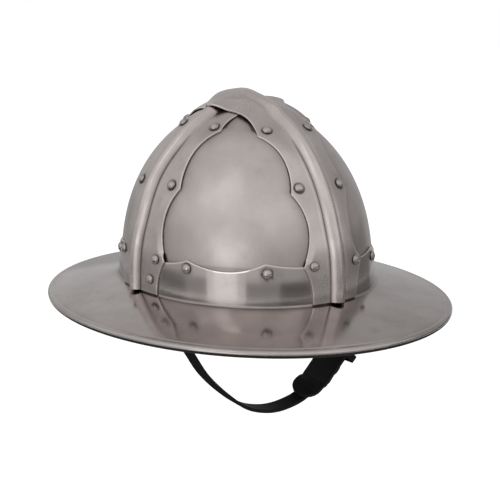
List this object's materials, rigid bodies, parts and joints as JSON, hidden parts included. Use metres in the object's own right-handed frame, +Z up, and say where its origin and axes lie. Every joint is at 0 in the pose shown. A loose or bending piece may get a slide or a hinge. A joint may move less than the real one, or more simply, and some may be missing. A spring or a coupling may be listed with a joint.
{
  "type": "kettle hat",
  "caption": "Riveted steel kettle hat: ridged bands cross over a plated skull, with a wide turned-down brim, a leather liner and a buckled chin strap.",
  "frame": {"origin": "middle of the opening that the head fills, at the crease where the collar turns out into the brim", "axes": "+Z up through the crown, -Y the way the wearer looks, -X at the wearer's right hand"},
  "size_m": [0.33, 0.3828, 0.2921],
  "materials": {
    "skull_steel": "satin, faint hammer marks",
    "band_steel": "satin",
    "brim_steel": "satin",
    "rivet_steel": "satin",
    "liner_leather": "matt, brown",
    "lace_leather": "matt, dark brown",
    "strap_leather": "satin, black",
    "buckle_steel": "satin, dark"
  },
  "bodies": {
    "hat": {"skull_plate_front_right": "skull_steel", "skull_plate_front_left": "skull_steel", "skull_plate_rear_right": "skull_steel", "skull_plate_rear_left": "skull_steel", "cross_band": "band_steel", "long_band": "band_steel", "brim": "brim_steel", "cross_band_rivet_right_front_1": "rivet_steel", "cross_band_rivet_right_front_2": "rivet_steel", "cross_band_rivet_right_front_3": "rivet_steel", "cross_band_rivet_right_rear_1": "rivet_steel", "cross_band_rivet_right_rear_2": "rivet_steel", "cross_band_rivet_right_rear_3": "rivet_steel", "cross_band_rivet_left_front_1": "rivet_steel", "cross_band_rivet_left_front_2": "rivet_steel", "cross_band_rivet_left_front_3": "rivet_steel", "cross_band_rivet_left_rear_1": "rivet_steel", "cross_band_rivet_left_rear_2": "rivet_steel", "cross_band_rivet_left_rear_3": "rivet_steel", "long_band_rivet_front_right_1": "rivet_steel", "long_band_rivet_front_right_2": "rivet_steel", "long_band_rivet_front_right_3": "rivet_steel", "long_band_rivet_front_left_1": "rivet_steel", "long_band_rivet_front_left_2": "rivet_steel", "long_band_rivet_front_left_3": "rivet_steel", "long_band_rivet_rear_right_1": "rivet_steel", "long_band_rivet_rear_right_2": "rivet_steel", "long_band_rivet_rear_right_3": "rivet_steel", "long_band_rivet_rear_left_1": "rivet_steel", "long_band_rivet_rear_left_2": "rivet_steel", "long_band_rivet_rear_left_3": "rivet_steel", "collar_rivet_front_right_1": "rivet_steel", "collar_rivet_front_right_2": "rivet_steel", "collar_rivet_front_left_1": "rivet_steel", "collar_rivet_front_left_2": "rivet_steel", "collar_rivet_rear_right_1": "rivet_steel", "collar_rivet_rear_right_2": "rivet_steel", "collar_rivet_rear_left_1": "rivet_steel", "collar_rivet_rear_left_2": "rivet_steel", "liner_band": "liner_leather", "liner_lobe_1": "liner_leather", "liner_lobe_2": "liner_leather", "liner_lobe_3": "liner_leather", "liner_lobe_4": "liner_leather", "liner_lobe_5": "liner_leather", "liner_lobe_6": "liner_leather", "liner_lace": "lace_leather", "strap_rivet_right": "rivet_steel", "strap_rivet_left": "rivet_steel", "strap_washer_right": "rivet_steel", "strap_washer_left": "rivet_steel"},
    "strap": {"chin_strap": "strap_leather", "buckle_tab": "strap_leather", "buckle_chape": "strap_leather", "strap_keeper": "strap_leather"},
    "buckle": {"buckle_frame": "buckle_steel"},
    "prong": {"buckle_prong": "buckle_steel"}
  },
  "joints": [
    {"name": "strap_swing", "type": "hinge", "parent": "hat", "child": "strap", "pos_m": [0, -0.01327, 0.01276], "axis": [1, 0, 0], "range_deg": [-30, 30]},
    {"name": "buckle_tilt", "type": "hinge", "parent": "strap", "child": "buckle", "pos_m": [0.08987, -0.01327, -0.09969], "axis": [0, -1, 0], "range_deg": [0, 8]},
    {"name": "prong_lift", "type": "hinge", "parent": "buckle", "child": "prong", "pos_m": [0.08987, -0.01327, -0.09969], "axis": [0, -1, 0], "range_deg": [0, 25]}
  ]
}
